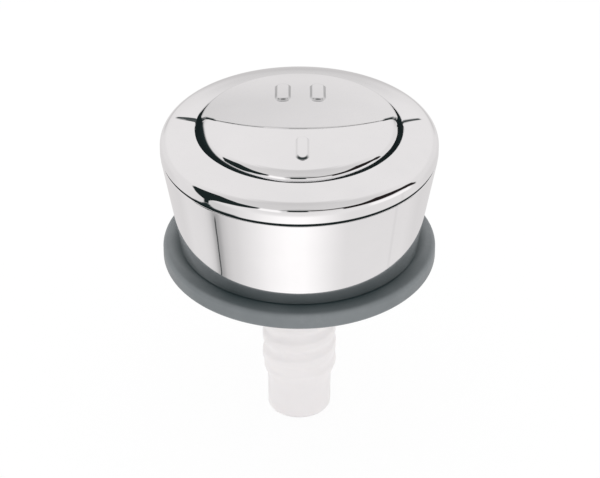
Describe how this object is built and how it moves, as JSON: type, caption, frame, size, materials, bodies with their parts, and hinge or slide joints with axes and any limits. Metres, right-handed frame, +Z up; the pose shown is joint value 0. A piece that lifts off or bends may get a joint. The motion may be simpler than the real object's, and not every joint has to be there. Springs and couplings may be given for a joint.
{
  "type": "push button cistern actuator",
  "caption": "Dual-flush push button with split chromed caps in a trim ring and tapered collar, rubber lid gasket and hollow threaded stem with sprung push rods.",
  "frame": {"origin": "on the stem's axis, in the underside of the seat gasket, which is the plane of the cistern lid", "axes": "+Z up along the stem's axis towards the caps; -Y is the front, where the half-flush cap is"},
  "size_m": [0.0724, 0.0724, 0.0918],
  "materials": {
    "grey_rubber": "matte",
    "collar_chrome": "polished",
    "ring_chrome": "polished",
    "button_chrome": "polished",
    "stem_plastic": "satin",
    "guide_plastic": "satin",
    "slider_plastic": "satin",
    "rod_plastic": "satin",
    "screw_steel": "bright",
    "spring_steel": "bright"
  },
  "bodies": {
    "housing": {"seat_gasket": "grey_rubber", "collar": "collar_chrome", "trim_ring": "ring_chrome", "threaded_stem": "stem_plastic", "guide_plate": "guide_plastic", "guide_screws": "screw_steel", "full_flush_spring": "spring_steel", "half_flush_spring": "spring_steel"},
    "full_flush": {"full_flush_button": "button_chrome", "full_flush_slider": "slider_plastic", "full_flush_rod": "rod_plastic"},
    "half_flush": {"half_flush_button": "button_chrome", "half_flush_slider": "slider_plastic", "half_flush_rod": "rod_plastic"}
  },
  "joints": [
    {"name": "full_flush_press", "type": "slide", "parent": "housing", "child": "full_flush", "axis": [0, 0, -1], "range_m": [0, 0.006], "stiffness_N_per_m": 400, "springref_m": -0.006, "deforming": ["full_flush_spring"]},
    {"name": "half_flush_press", "type": "slide", "parent": "housing", "child": "half_flush", "axis": [0, 0, -1], "range_m": [0, 0.006], "stiffness_N_per_m": 400, "springref_m": -0.006, "deforming": ["half_flush_spring"]}
  ]
}
